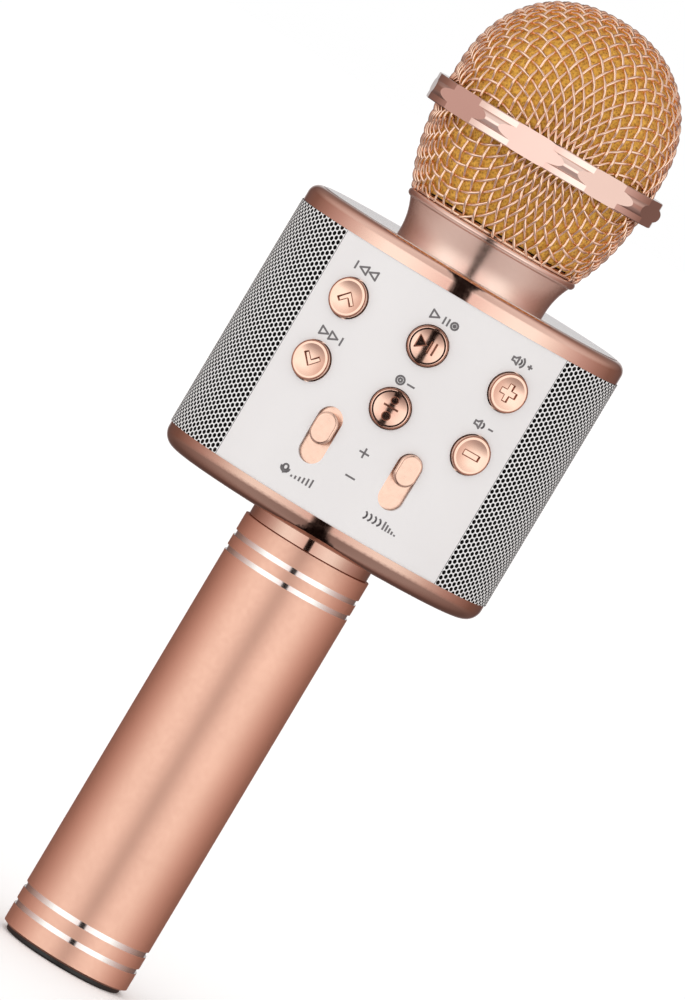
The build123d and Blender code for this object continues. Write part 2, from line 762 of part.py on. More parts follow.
for side, name in ((-1, "left"), (1, "right")):
    with BuildPart() as speaker_frame:
        with BuildSketch(Plane.XZ):
            with BuildLine():
                Polyline(
                    *speaker_profile(side, [
                        (31.1, 18.0), (30.0, 18.0), (30.0, 16.6), (22.0, 9.6), (21.2, 9.6),
                        (21.2, 5.2), (22.0, 5.2), (22.0, 8.6), (30.4, 15.9), (31.1, 15.9),
                    ]),
                    close=True,
                )
            make_face()
        revolve(axis=speaker_axis)
        with BuildSketch(Plane.YZ.offset(side * 22.6)):
            with Locations((0, speaker_height)):
                with PolarLocations(12.5, 4, start_angle=45):
                    SlotOverall(7.0, 4.0, rotation=90)
        extrude(amount=side * 6.0, mode=Mode.SUBTRACT)
    speaker_frame.part.label = f"speaker_frame_{name}"
    export_step(speaker_frame.part, f"parts/speaker_frame_{name}.step")

    with BuildPart() as speaker_magnet:
        with BuildSketch(Plane.XZ):
            with BuildLine():
                Polyline(
                    *speaker_profile(side, [
                        (15.2, 0), (15.2, 9.8), (15.8, magnet_radius), (21.2, magnet_radius),
                        (21.2, 5.2), (17.0, 5.2), (17.0, 4.4), (24.0, 4.4), (24.0, 0),
                    ]),
                    close=True,
                )
            make_face()
        revolve(axis=speaker_axis)
    speaker_magnet.part.label = f"speaker_magnet_{name}"
    export_step(speaker_magnet.part, f"parts/speaker_magnet_{name}.step")

    with BuildPart() as speaker_cone:
        with BuildSketch(Plane.XZ):
            with BuildLine():
                cap_inner, cap_middle, cap_outer = speaker_profile(side, dome_arc(25.6, 4.7, 27.4))
                ThreePointArc(cap_inner, cap_middle, cap_outer)
                face_edge, face_middle, face_top = speaker_profile(side, dome_arc(26.0, 5.3, 27.9))
                Line(cap_outer, face_top)
                ThreePointArc(face_top, face_middle, face_edge)
                Polyline(
                    face_edge,
                    *speaker_profile(side, [
                        (31.4, 13.2), (32.3, 14.4), (31.9, 15.5), (31.4, 15.5), (31.6, 14.4),
                        (31.0, 13.7), (25.2, 5.1), (22.9, 5.0), (22.9, 4.7),
                    ]),
                    cap_inner,
                )
            make_face()
        revolve(axis=speaker_axis)
    speaker_cone.part.label = f"speaker_cone_{name}"
    export_step(speaker_cone.part, f"parts/speaker_cone_{name}.step")

# ---------------------------------------------------------------- head

neck_bottom = 174.8
holder_ledge = 178.0
with BuildPart() as collar:
    with BuildSketch(Plane.XZ):
        with BuildLine():
            Polyline(
                (12.0, neck_bottom), (collar_neck_radius, neck_bottom), (collar_neck_radius, cap_face),
                (collar_foot_radius, cap_face),
            )
            ThreePointArc(
                (collar_foot_radius, cap_face), (19.25, 183.9), (collar_bead_root, collar_bead_bottom)
            )
            ThreePointArc(
                (collar_bead_root, collar_bead_bottom),
                (collar_lip_radius, (collar_bead_bottom + collar_top) / 2),
                (collar_lip_radius - 0.5, collar_top),
            )
            Polyline(
                (collar_lip_radius - 0.5, collar_top), (socket_radius, collar_top), (socket_radius, socket_floor),
                (15.0, socket_floor), (15.0, holder_ledge), (12.0, holder_ledge), (12.0, neck_bottom),
            )
        make_face()
    revolve(axis=Axis.Z)
collar.part.label = "collar"
export_step(collar.part, "parts/collar.step")

with BuildPart() as collar_nut:
    with BuildSketch(Plane.XY.offset(neck_bottom)):
        RegularPolygon(20.0, 6)
        Circle(collar_neck_radius, mode=Mode.SUBTRACT)
    extrude(amount=cap_underside - neck_bottom)
collar_nut.part.label = "collar_nut"
export_step(collar_nut.part, "parts/collar_nut.step")

ring_flange_radius = 20.2
with BuildPart() as basket_base_ring:
    with BuildSketch(Plane.XZ):
        with BuildLine():
            Polyline(
                (15.6, socket_floor + thread_gap), (socket_radius - thread_gap, socket_floor + thread_gap),
                (socket_radius - thread_gap, basket_bottom), (ring_flange_radius, basket_bottom),
                (ring_flange_radius, basket_bottom + 0.9), (15.6, basket_bottom + 0.9), close=True,
            )
        make_face()
    revolve(axis=Axis.Z)
basket_base_ring.part.label = "basket_base_ring"
export_step(basket_base_ring.part, "parts/basket_base_ring.step")

with BuildPart() as lower_basket:
    with BuildSketch(Plane.XZ):
        with BuildLine():
            low, middle, high = basket_bottom, (basket_bottom + basket_split) / 2, basket_split - 0.1
            ThreePointArc((lower_radius(low), low), (lower_radius(middle), middle), (lower_radius(high), high))
            Line((lower_radius(high), high), (lower_radius(high, basket_wall), high))
            ThreePointArc(
                (lower_radius(high, basket_wall), high),
                (lower_radius(middle, basket_wall), middle),
                (lower_radius(low, basket_wall), low),
            )
            Line((lower_radius(low, basket_wall), low), (lower_radius(low), low))
        make_face()
    revolve(axis=Axis.Z)
lower_basket.part.label = "lower_basket"
export_step(lower_basket.part, "parts/lower_basket.step")

with BuildPart() as upper_basket:
    with BuildSketch(Plane.XZ):
        with BuildLine():
            Line((head_radius, basket_split + 0.1), (head_radius, dome_centre))
            Spline(*dome_points(), tangents=((0, 1), (-1, 0)))
            Line((0, total_length), (0, total_length - basket_wall))
            Spline(*reversed(dome_points(basket_wall)), tangents=((1, 0), (0, -1)))
            Line((head_radius - basket_wall, dome_centre), (head_radius - basket_wall, basket_split + 0.1))
            Line((head_radius - basket_wall, basket_split + 0.1), (head_radius, basket_split + 0.1))
        make_face()
    revolve(axis=Axis.Z)
upper_basket.part.label = "upper_basket"
export_step(upper_basket.part, "parts/upper_basket.step")

with BuildPart() as head_band:
    with BuildSketch(Plane.XZ):
        with BuildLine():
            band_middle = (band_bottom + band_top) / 2
            crown_bottom = band_middle - band_crown_half_height
            crown_top = band_middle + band_crown_half_height
            Polyline(
                (band_edge_radius, crown_bottom), (band_edge_radius, band_bottom + 0.2),
                (band_edge_radius - 0.2, band_bottom), (head_radius + 0.1, band_bottom),
                (head_radius + 0.1, band_top), (band_edge_radius - 0.2, band_top),
                (band_edge_radius, band_top - 0.2), (band_edge_radius, crown_top),
            )
            ThreePointArc(
                (band_edge_radius, crown_top), (band_crown_radius, band_middle), (band_edge_radius, crown_bottom)
            )
        make_face()
    revolve(axis=Axis.Z)
    with BuildSketch(Plane.XY.offset(band_bottom)):
        RegularPolygon(band_flat, facets, major_radius=False, rotation=facet_turn)
    extrude(amount=band_top - band_bottom, mode=Mode.INTERSECT)
head_band.part.label = "head_band"
export_step(head_band.part, "parts/head_band.step")

foam_inset = basket_wall + foam_gap
with BuildPart() as foam_windscreen:
    with BuildSketch(Plane.XZ):
        with BuildLine():
            middle = (foam_bottom + basket_split) / 2
            foam_foot = lower_radius(foam_bottom, foam_inset)
            foam_waist = lower_radius(basket_split, foam_inset)
            Line((foam_cavity, foam_bottom), (foam_foot, foam_bottom))
            ThreePointArc(
                (foam_foot, foam_bottom), (lower_radius(middle, foam_inset), middle), (foam_waist, basket_split)
            )
            Line((foam_waist, basket_split), (foam_waist, dome_centre))
            Spline(*dome_points(foam_inset), tangents=((0, 1), (-1, 0)))
            Line((0, total_length - foam_inset), (0, 232.0))
            ThreePointArc((0, 232.0), (foam_cavity * 0.72, 227.6), (foam_cavity, 218.0))
            Line((foam_cavity, 218.0), (foam_cavity, foam_bottom))
        make_face()
    revolve(axis=Axis.Z)
foam_windscreen.part.label = "foam_windscreen"
export_step(foam_windscreen.part, "parts/foam_windscreen.step")

# The capsule stands in a rubber cup on a stalk, which sits on the ledge inside the collar.
capsule_radius = 8.0
cup_radius = 10.0
capsule_bottom = 202.0
with BuildPart() as capsule_holder:
    with BuildSketch(Plane.XZ):
        with BuildLine():
            Polyline(
                (3.0, holder_ledge), (14.9, holder_ledge), (14.9, holder_ledge + 3), (9.0, holder_ledge + 5),
                (8.0, 198.0), (cup_radius, 199.5), (cup_radius, 200.5), (3.0, 200.5), close=True,
            )
        make_face()
    revolve(axis=Axis.Z)
capsule_holder.part.label = "capsule_holder"
export_step(capsule_holder.part, "parts/capsule_holder.step")

with BuildPart() as capsule_mount:
    with BuildSketch(Plane.XZ):
        with BuildLine():
            Polyline(
                (3.0, 200.5), (cup_radius, 200.5), (cup_radius, 208.0), (capsule_radius, 208.0),
                (capsule_radius, capsule_bottom), (3.0, capsule_bottom), close=True,
            )
        make_face()
    revolve(axis=Axis.Z)
capsule_mount.part.label = "capsule_mount"
export_step(capsule_mount.part, "parts/capsule_mount.step")

with BuildPart() as mic_capsule:
    with BuildSketch(Plane.XY.offset(capsule_bottom)):
        Circle(capsule_radius)
    extrude(amount=8.0)
    fillet(mic_capsule.faces().sort_by(Axis.Z)[-1].edges(), radius=0.6)
    with BuildSketch(Plane.XY.offset(capsule_bottom + 8.0)):
        with PolarLocations(4.0, 6):
            Circle(0.7)
        Circle(0.7)
    extrude(amount=-0.8, mode=Mode.SUBTRACT)
mic_capsule.part.label = "mic_capsule"
export_step(mic_capsule.part, "parts/mic_capsule.step")

# ---------------------------------------------------------------- inner leads

lead_radius = 0.7


def lead(points, radii):
    """A round lead along straight runs joined by tangent arcs, and the start plane of its section."""
    with BuildLine(mode=Mode.PRIVATE) as route:
        FilletPolyline(*points, radius=radii)
    return route.line


with BuildPart() as battery_leads:
    for x in (-1.6, 1.6):
        battery_route = [(x, 3.0, 95.6), (x, 3.0, 119.0), (x, 12.0, 134.0), (x, 23.4, 136.0)]
        path = lead(battery_route, [10.0, 8.0])
        with BuildSketch(Plane(origin=path @ 0, z_dir=path % 0)):
            Circle(lead_radius)
        sweep(path=path)
battery_leads.part.label = "battery_leads"
export_step(battery_leads.part, "parts/battery_leads.step")

with BuildPart() as mic_lead:
    path = lead([(0, 0, capsule_bottom - 0.1), (0, 0, 174.0), (0, 12.0, 162.5), (0, 23.4, 162.0)], [8.0, 8.0])
    with BuildSketch(Plane(origin=path @ 0, z_dir=path % 0)):
        Circle(lead_radius)
    sweep(path=path)
mic_lead.part.label = "mic_lead"
export_step(mic_lead.part, "parts/mic_lead.step")

with BuildPart() as speaker_leads:
    for side in (-1, 1):
        path = lead([(side * 15.1, 0, 149.0), (side * 9.0, 0, 149.0), (side * 9.0, 23.4, 149.0)], [4.0])
        with BuildSketch(Plane(origin=path @ 0, z_dir=path % 0)):
            Circle(lead_radius)
        sweep(path=path)
speaker_leads.part.label = "speaker_leads"
export_step(speaker_leads.part, "parts/speaker_leads.step")
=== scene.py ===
"""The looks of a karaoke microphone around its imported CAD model, in metres.

The microphone stands on its base with +Z up and its control panel facing -Y.
"""

import math

import bmesh
import bpy
import numpy as np
from mathutils import Matrix, Vector
from mathutils.noise import fractal


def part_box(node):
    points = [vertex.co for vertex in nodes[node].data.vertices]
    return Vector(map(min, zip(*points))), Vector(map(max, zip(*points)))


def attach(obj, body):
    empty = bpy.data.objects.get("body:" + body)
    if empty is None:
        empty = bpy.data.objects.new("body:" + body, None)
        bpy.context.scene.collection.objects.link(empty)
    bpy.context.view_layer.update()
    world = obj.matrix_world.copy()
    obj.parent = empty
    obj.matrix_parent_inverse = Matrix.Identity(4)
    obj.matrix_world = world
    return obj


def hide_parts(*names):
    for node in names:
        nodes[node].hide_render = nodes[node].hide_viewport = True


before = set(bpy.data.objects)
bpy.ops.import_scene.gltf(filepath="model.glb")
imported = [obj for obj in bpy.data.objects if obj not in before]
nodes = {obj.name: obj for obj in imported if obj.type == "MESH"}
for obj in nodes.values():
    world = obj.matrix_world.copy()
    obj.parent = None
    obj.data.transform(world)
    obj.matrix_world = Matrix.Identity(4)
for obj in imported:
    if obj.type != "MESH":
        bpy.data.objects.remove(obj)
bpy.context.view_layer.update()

MM = 0.001


def low(node, axis):
    """The lowest coordinate of a node along an axis, in millimetres."""
    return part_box(node)[0][axis] / MM


def high(node, axis):
    """The highest coordinate of a node along an axis, in millimetres."""
    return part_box(node)[1][axis] / MM


X, Y, Z = 0, 1, 2
skin_half_width = 40.4
grille_half_width = high("grille_right", X)
skin_half_depth = -low("front_panel", Y)
panel_half_width = high("front_panel", X)
panel_bottom = low("front_panel", Z)
panel_top = high("front_panel", Z)
head_radius = high("upper_basket", X)
head_top = high("upper_basket", Z)
basket_foot = low("lower_basket", Z)
band_bottom = low("head_band", Z)
band_top = high("head_band", Z)

# ---------------------------------------------------------------- camera and studio

CAMERA_DISTANCE = 2060.0
CAMERA_HEIGHT = 250.0
AIM = (1.25, 0.0, 121.1)
LEAN = 30.78
LENS = 332.5


def make_view():
    """Plain colours, so that a white backdrop comes out white."""
    settings = bpy.context.scene.view_settings
    settings.view_transform = "Standard"
    settings.look = "None"


def make_camera():
    """The camera stands level with the head, and is rolled so that the microphone leans to the right."""
    data = bpy.data.cameras.new("camera")
    data.sensor_width = 36.0
    data.lens = LENS
    data.clip_start, data.clip_end = 0.1, 60.0
    camera = bpy.data.objects.new("camera", data)
    bpy.context.scene.collection.objects.link(camera)
    bpy.context.scene.camera = camera
    aim = Vector(AIM) * MM
    place = Vector((AIM[0], -CAMERA_DISTANCE, CAMERA_HEIGHT)) * MM
    back = (place - aim).normalized()
    right = Vector((0, 0, 1)).cross(back).normalized()
    up = back.cross(right)
    lean = math.radians(LEAN)
    image_right = right * math.cos(lean) + up * math.sin(lean)
    image_up = up * math.cos(lean) - right * math.sin(lean)
    camera.matrix_world = Matrix.Translation(place) @ Matrix(
        (image_right, image_up, back)
    ).transposed().to_4x4()


def ramp(tree, source, stops, name):
    """A colour ramp over stops of (position, grey or colour)."""
    node = tree.nodes.new("ShaderNodeValToRGB")
    node.name = name
    elements = node.color_ramp.elements
    while len(elements) < len(stops):
        elements.new(0.5)
    for element, (position, colour) in zip(elements, stops):
        element.position = position
        shade = (colour,) * 3 if isinstance(colour, (int, float)) else colour
        element.color = (*shade, 1.0)
    tree.links.new(source, node.inputs["Fac"])
    return node.outputs["Color"]


def math_node(tree, operation, first, second=None):
    """A Math node whose inputs are sockets or numbers."""
    node = tree.nodes.new("ShaderNodeMath")
    node.operation = operation
    for socket, value in zip(node.inputs, (first, second)):
        if value is None:
            continue
        if isinstance(value, (int, float)):
            socket.default_value = value
        else:
            tree.links.new(value, socket)
    return node.outputs[0]


def vector_node(tree, operation, first, second):
    """A Vector Math node of a socket and a constant vector."""
    node = tree.nodes.new("ShaderNodeVectorMath")
    node.operation = operation
    tree.links.new(first, node.inputs[0])
    node.inputs[1].default_value = second
    return node


# What the metal mirrors, by the angle from the front: light, then a broad brighter ring, then darker
# and warmer to the sides, and light again behind. Positions are parts of the half turn to the back.
STUDIO_ROUND = (
    (0.00, (1.10, 0.94, 0.90)),
    (0.05, (1.10, 0.94, 0.90)),
    (0.10, (1.22, 1.14, 1.10)),
    (0.19, (1.38, 1.38, 1.34)),
    (0.27, (1.34, 1.36, 1.32)),
    (0.33, (1.16, 1.12, 1.07)),
    (0.41, (0.88, 0.74, 0.69)),
    (0.50, (0.64, 0.46, 0.42)),
    (0.60, (0.45, 0.29, 0.25)),
    (0.72, (0.26, 0.15, 0.12)),
    (0.90, (0.15, 0.09, 0.08)),
    (1.00, (0.78, 0.77, 0.77)),
)
# The same for steep directions, by their bearing from the front.
STUDIO_TILTED = (
    (0.00, (0.72, 0.64, 0.61)),
    (0.08, (0.78, 0.70, 0.67)),
    (0.16, (0.86, 0.79, 0.76)),
    (0.30, (0.92, 0.86, 0.83)),
    (0.42, (0.90, 0.82, 0.78)),
    (0.52, (0.76, 0.65, 0.61)),
    (0.66, (0.58, 0.45, 0.41)),
    (0.80, (0.34, 0.24, 0.21)),
    (0.92, (0.26, 0.18, 0.16)),
    (1.00, (0.40, 0.36, 0.35)),
)
STEEP_FROM, STEEP_TO = 0.18, 0.42
# The black card, its extent as parts of a unit direction, and where it ends behind.
CARD_INK = (0.012, 0.007, 0.006)
CARD_HALF_WIDTH = 0.085
CARD_BLUR = 0.03
CARD_END_FROM, CARD_END_TO = 0.2, 0.5
# How much dimmer the studio is well below level.
LOWER_DIMMING = (0.50, 0.46, 0.46)
LOWER_FROM, LOWER_TO = -0.40, -0.16
# The even dome that lights matt surfaces, brightest towards the upper left of the front.
DOME_TOWARD = (-0.40, -0.65, 0.65)
DOME_STOPS = ((0, 0.78), (1, 1.28))
FLOOR_GLOW = 0.08
FLOOR_HALF_SIDE = 9.0


def mix_colour(tree, factor, first, second):
    """A colour mix of sockets or constant colours."""
    node = tree.nodes.new("ShaderNodeMix")
    node.data_type = "RGBA"
    tree.links.new(factor, node.inputs[0])
    for socket, value in ((node.inputs[6], first), (node.inputs[7], second)):
        if isinstance(value, tuple):
            socket.default_value = (*value, 1)
        else:
            tree.links.new(value, socket)
    return node.outputs[2]


def background(tree, colour):
    """A Background shader of a socket or a constant colour."""
    node = tree.nodes.new("ShaderNodeBackground")
    node.inputs["Strength"].default_value = 1.0
    if isinstance(colour, tuple):
        node.inputs["Color"].default_value = (*colour, 1)
    else:
        tree.links.new(colour, node.inputs["Color"])
    return node.outputs[0]


def mix_shader(tree, factor, first, second):
    """A Mix Shader of three sockets."""
    node = tree.nodes.new("ShaderNodeMixShader")
    for socket, value in zip(node.inputs, (factor, first, second)):
        tree.links.new(value, socket)
    return node.outputs[0]


def make_world():
    """A white studio. Metal mirrors its soft light and a narrow black card in front; matt surfaces
    are lit by an even dome.
    """
    world = bpy.data.worlds.new("studio")
    bpy.context.scene.world = world
    world.use_nodes = True
    tree = world.node_tree
    tree.nodes.clear()
    direction = tree.nodes.new("ShaderNodeTexCoord").outputs["Generated"]
    parts = tree.nodes.new("ShaderNodeSeparateXYZ")
    tree.links.new(direction, parts.inputs[0])
    forward = vector_node(tree, "DOT_PRODUCT", direction, (0, -1, 0)).outputs["Value"]
    angle = math_node(tree, "DIVIDE", math_node(tree, "ARCCOSINE", forward), math.pi)
    around = ramp(tree, angle, STUDIO_ROUND, "around")
    level = vector_node(tree, "MULTIPLY", direction, (1, 1, 0)).outputs[0]
    level = vector_node(tree, "NORMALIZE", level, (0, 0, 0)).outputs[0]
    forward = vector_node(tree, "DOT_PRODUCT", level, (0, -1, 0)).outputs["Value"]
    bearing = math_node(tree, "DIVIDE", math_node(tree, "ARCCOSINE", forward), math.pi)
    tilted = ramp(tree, bearing, STUDIO_TILTED, "tilted")
    steep = spread(tree, math_node(tree, "ABSOLUTE", parts.outputs["Z"]), STEEP_FROM, STEEP_TO, 0, 1)
    around = mix_colour(tree, steep, around, tilted)
    aside = math_node(tree, "ABSOLUTE", parts.outputs["X"])
    clear = spread(tree, aside, CARD_HALF_WIDTH, CARD_HALF_WIDTH + CARD_BLUR, 0, 1)
    behind = spread(tree, parts.outputs["Y"], CARD_END_FROM, CARD_END_TO, 0, 1)
    clear = math_node(tree, "MAXIMUM", clear, behind)
    mirrored = mix_colour(tree, clear, CARD_INK, around)
    below = spread(tree, parts.outputs["Z"], LOWER_FROM, LOWER_TO, 0, 1)
    dimmed = vector_node(tree, "MULTIPLY", mirrored, LOWER_DIMMING).outputs[0]
    mirrored = mix_colour(tree, below, dimmed, mirrored)
    toward = vector_node(tree, "DOT_PRODUCT", direction, DOME_TOWARD).outputs["Value"]
    dome = ramp(tree, spread(tree, toward, -1, 1, 0, 1), DOME_STOPS, "dome")
    rays = tree.nodes.new("ShaderNodeLightPath")
    shiny, matt, plain = (background(tree, light) for light in (mirrored, dome, (1.0, 1.0, 1.0)))
    lit = mix_shader(tree, rays.outputs["Is Diffuse Ray"], shiny, matt)
    seen = mix_shader(tree, rays.outputs["Is Camera Ray"], lit, plain)
    out = tree.nodes.new("ShaderNodeOutputWorld")
    tree.links.new(seen, out.inputs["Surface"])


def make_floor():
    """A wide pale floor under the base, which the polished metal doesn't mirror."""
    mesh = bpy.data.meshes.new("floor")
    side = FLOOR_HALF_SIDE
    corners = [(-side, -side, 0), (side, -side, 0), (side, side, 0), (-side, side, 0)]
    mesh.from_pydata(corners, [], [(0, 1, 2, 3)])
    floor = bpy.data.objects.new("floor", mesh)
    bpy.context.scene.collection.objects.link(floor)
    paint = plain_material("floor_paint", (0.97, 0.97, 0.97), roughness=0.9)
    shader = paint.node_tree.nodes["Principled BSDF"]
    shader.inputs["Emission Color"].default_value = (1, 1, 1, 1)
    shader.inputs["Emission Strength"].default_value = FLOOR_GLOW
    floor.data.materials.append(paint)
    floor.visible_glossy = False


# ---------------------------------------------------------------- materials


def new_material(name):
    """A material with its tree and Principled shader."""
    material = bpy.data.materials.new(name)
    material.use_nodes = True
    tree = material.node_tree
    return material, tree, tree.nodes["Principled BSDF"]


def plain_material(name, colour, roughness):
    """A Principled material with constant inputs."""
    material, _, shader = new_material(name)
    shader.inputs["Base Color"].default_value = (*colour, 1)
    shader.inputs["Roughness"].default_value = roughness
    return material


def object_place(tree):
    """The object-space position, in metres."""
    return tree.nodes.new("ShaderNodeTexCoord").outputs["Object"]


def noise(tree, place, scale, detail=2.0):
    """Noise over a position."""
    node = tree.nodes.new("ShaderNodeTexNoise")
    node.inputs["Scale"].default_value = scale
    node.inputs["Detail"].default_value = detail
    tree.links.new(place, node.inputs["Vector"])
    return node.outputs["Fac"]


def spread(tree, source, from_low, from_high, to_low, to_high):
    """A Map Range of a value."""
    node = tree.nodes.new("ShaderNodeMapRange")
    tree.links.new(source, node.inputs["Value"])
    keys = ("From Min", "From Max", "To Min", "To Max")
    for key, value in zip(keys, (from_low, from_high, to_low, to_high)):
        node.inputs[key].default_value = value
    return node.outputs["Result"]


def bump(tree, shader, height, strength, distance):
    """Feeds a height into the shader's normal."""
    node = tree.nodes.new("ShaderNodeBump")
    node.inputs["Strength"].default_value = strength
    node.inputs["Distance"].default_value = distance
    tree.links.new(height, node.inputs["Height"])
    tree.links.new(node.outputs["Normal"], shader.inputs["Normal"])


def metal(name, colour, smooth, rough):
    """Metal whose colour and roughness wander a little."""
    material, tree, shader = new_material(name)
    shader.inputs["Metallic"].default_value = 1.0
    place = object_place(tree)
    cloud = noise(tree, place, 60.0)
    tint = ramp(tree, cloud, ((0.3, tuple(0.96 * c for c in colour)), (0.7, colour)), "tint")
    tree.links.new(tint, shader.inputs["Base Color"])
    speckle = noise(tree, place, 900.0, 3.0)
    tree.links.new(spread(tree, speckle, 0.3, 0.7, smooth, rough), shader.inputs["Roughness"])
    return material


ROSE = (0.99, 0.62, 0.485)
ROSE_PLATE = (0.83, 0.575, 0.485)
SILVER = (0.88, 0.87, 0.86)


def handle_material(bands):
    """Satin rose anodising, cut through to bright metal in the grooves."""
    material = metal("rose_satin", ROSE, 0.40, 0.46)
    tree = material.node_tree
    shader = tree.nodes["Principled BSDF"]
    parts = tree.nodes.new("ShaderNodeSeparateXYZ")
    tree.links.new(object_place(tree), parts.inputs[0])
    inside = None
    for bottom, top in bands:
        middle, half = (bottom + top) / 2 * MM, (top - bottom) / 2 * MM
        node = tree.nodes.new("ShaderNodeMath")
        node.operation = "COMPARE"
        tree.links.new(parts.outputs["Z"], node.inputs[0])
        node.inputs[1].default_value = middle
        node.inputs[2].default_value = half + 0.02 * MM
        inside = node.outputs[0] if inside is None else math_node(tree, "ADD", inside, node.outputs[0])
    for key, value in (("Base Color", (*SILVER, 1)), ("Roughness", 0.12)):
        source = shader.inputs[key].links[0].from_socket
        mixed = tree.nodes.new("ShaderNodeMix")
        colour = key == "Base Color"
        mixed.data_type = "RGBA" if colour else "FLOAT"
        first, second, result = (6, 7, 2) if colour else (2, 3, 0)
        tree.links.new(inside, mixed.inputs[0])
        tree.links.new(source, mixed.inputs[first])
        mixed.inputs[second].default_value = value
        tree.links.new(mixed.outputs[result], shader.inputs[key])
    return material


def painted(name, colour, gloss, texture, metallic=0.0):
    """Moulded or painted plastic with a fine surface, or a part-metallic plating."""
    material, tree, shader = new_material(name)
    shader.inputs["Metallic"].default_value = metallic
    place = object_place(tree)
    cloud = noise(tree, place, 40.0)
    tint = ramp(tree, cloud, ((0.3, tuple(0.97 * c for c in colour)), (0.7, colour)), "tint")
    tree.links.new(tint, shader.inputs["Base Color"])
    fine = noise(tree, place, 3500.0, 2.0)
    tree.links.new(spread(tree, fine, 0.3, 0.7, gloss - 0.04, gloss + 0.04), shader.inputs["Roughness"])
    bump(tree, shader, fine, texture, 0.00005)
    return material


def foam_material():
    """Open-cell golden foam, with painted shade darkening its pore hollows."""
    material, tree, shader = new_material("golden_foam")
    place = object_place(tree)
    cells = tree.nodes.new("ShaderNodeTexVoronoi")
    cells.inputs["Scale"].default_value = 1500.0
    tree.links.new(place, cells.inputs["Vector"])
    # golden foam colour, with painted shade: darker towards each cell's middle, where the bump sinks into a
    # pore
    pore_shade_colours = ((0.0, (0.28, 0.12, 0.02)), (0.35, (0.70, 0.37, 0.05)), (0.8, (0.95, 0.55, 0.09)))
    tint = ramp(tree, cells.outputs["Distance"], pore_shade_colours, "cells")
    tree.links.new(tint, shader.inputs["Base Color"])
    shader.inputs["Roughness"].default_value = 0.9
    shader.inputs["Sheen Weight"].default_value = 0.3
    bump(tree, shader, cells.outputs["Distance"], 0.6, 0.0003)
    return material


def cloth_material():
    """Fine black dust cloth."""
    material, tree, shader = new_material("black_cloth")
    shader.inputs["Base Color"].default_value = (0.006, 0.006, 0.006, 1)
    shader.inputs["Roughness"].default_value = 0.95
    weave = noise(tree, object_place(tree), 6000.0)
    bump(tree, shader, weave, 0.3, 0.0001)
    return material


# ---------------------------------------------------------------- mesh helpers


def new_piece(name, vertices, faces, material, body, smooth=True):
    """A mesh object that rides on a body. Vertices are in millimetres."""
    mesh = bpy.data.meshes.new(name)
    mesh.from_pydata([tuple(v) for v in np.asarray(vertices) * MM], [], faces)
    mesh.validate()
    if smooth:
        mesh.shade_smooth()
    mesh.materials.append(material)
    piece = bpy.data.objects.new(name, mesh)
    bpy.context.scene.collection.objects.link(piece)
    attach(piece, body)
    return piece


def tube(path, normals, radius, sides, vertices, faces):
    """Adds a closed round wire along a path, with its ends capped."""
    count = len(path)
    along = np.gradient(path, axis=0)
    along /= np.linalg.norm(along, axis=1)[:, None]
    across = np.cross(along, normals)
    across /= np.linalg.norm(across, axis=1)[:, None]
    upward = np.cross(across, along)
    turns = 2 * np.pi * np.arange(sides) / sides
    ring = (
        path[:, None]
        + radius * np.cos(turns)[None, :, None] * across[:, None]
        + radius * np.sin(turns)[None, :, None] * upward[:, None]
    )
    start = len(vertices)
    vertices.extend(ring.reshape(-1, 3))
    for i in range(count - 1):
        for k in range(sides):
            a, b = start + i * sides + k, start + i * sides + (k + 1) % sides
            faces.append((a, b, b + sides, a + sides))
    faces.append(tuple(range(start + sides - 1, start - 1, -1)))
    last = start + (count - 1) * sides
    faces.append(tuple(range(last, last + sides)))


# ---------------------------------------------------------------- wire baskets

# The outside of the head: a dome over a straight wall, and half an ellipsoid below.
DOME_CENTRE = 217.5
DOME_POWER = 2.2
LOWER_CENTRE = 211.3
LOWER_SEMI_AXIS = 37.5
# The net's pitch along its wires, its knots from the pole, and the wires themselves.
MESH_PITCH = 2.9
MESH_COUNT = 21
WIRE_RADIUS = 0.355
WIRE_CRIMP = 0.34
WIRE_INSET = 0.70
WIRE_SIDES = 7
WIRE_STEPS = 6
NET_TURN = 52.0
HEM_RADIUS = 20.9


def net_quadrant(surface, top, count, reach):
    """One quarter of a square net of even pitch, pressed over a surface of revolution about Z.

    surface(point) is zero on the surface, and top is the height of its pole. The first row and the
    first column run down from the pole, a quarter turn apart. The net stops where reach() fails,
    and its unused knots are not numbers.
    """
    grid = np.full((count + 1, count + 1, 3), np.nan)
    grid[0, 0] = (0, 0, top)
    for i in range(1, count + 1):
        step = grid[i - 1, 0] - grid[i - 2, 0] if i > 1 else np.array((MESH_PITCH, 0, 0))
        grid[i, 0] = settle(surface, grid[i - 1, 0] + step, [(grid[i - 1, 0], MESH_PITCH)], flat=True)
        grid[0, i] = grid[i, 0][[1, 0, 2]]
        if not reach(grid[i, 0]):
            break
    for i in range(1, count + 1):
        for j in range(1, count + 1):
            beside, below = grid[i - 1, j], grid[i, j - 1]
            if not (reach(beside) and reach(below)):
                continue
            guess = beside + below - grid[i - 1, j - 1]
            grid[i, j] = settle(surface, guess, [(beside, MESH_PITCH), (below, MESH_PITCH)])
    return grid


def settle(surface, point, ties, flat=False):
    """Newton steps to the point on the surface at the given distances from its ties."""
    small = 1e-4

    def misses(p):
        found = [np.linalg.norm(p - anchor) - length for anchor, length in ties]
        return np.array(found + [surface(p)] + ([p[1]] if flat else []))

    for _ in range(12):
        value = misses(point)
        slope = np.array([(misses(point + small * axis) - value) / small for axis in np.eye(3)]).T
        point = point - np.linalg.solve(slope, value)
    return point


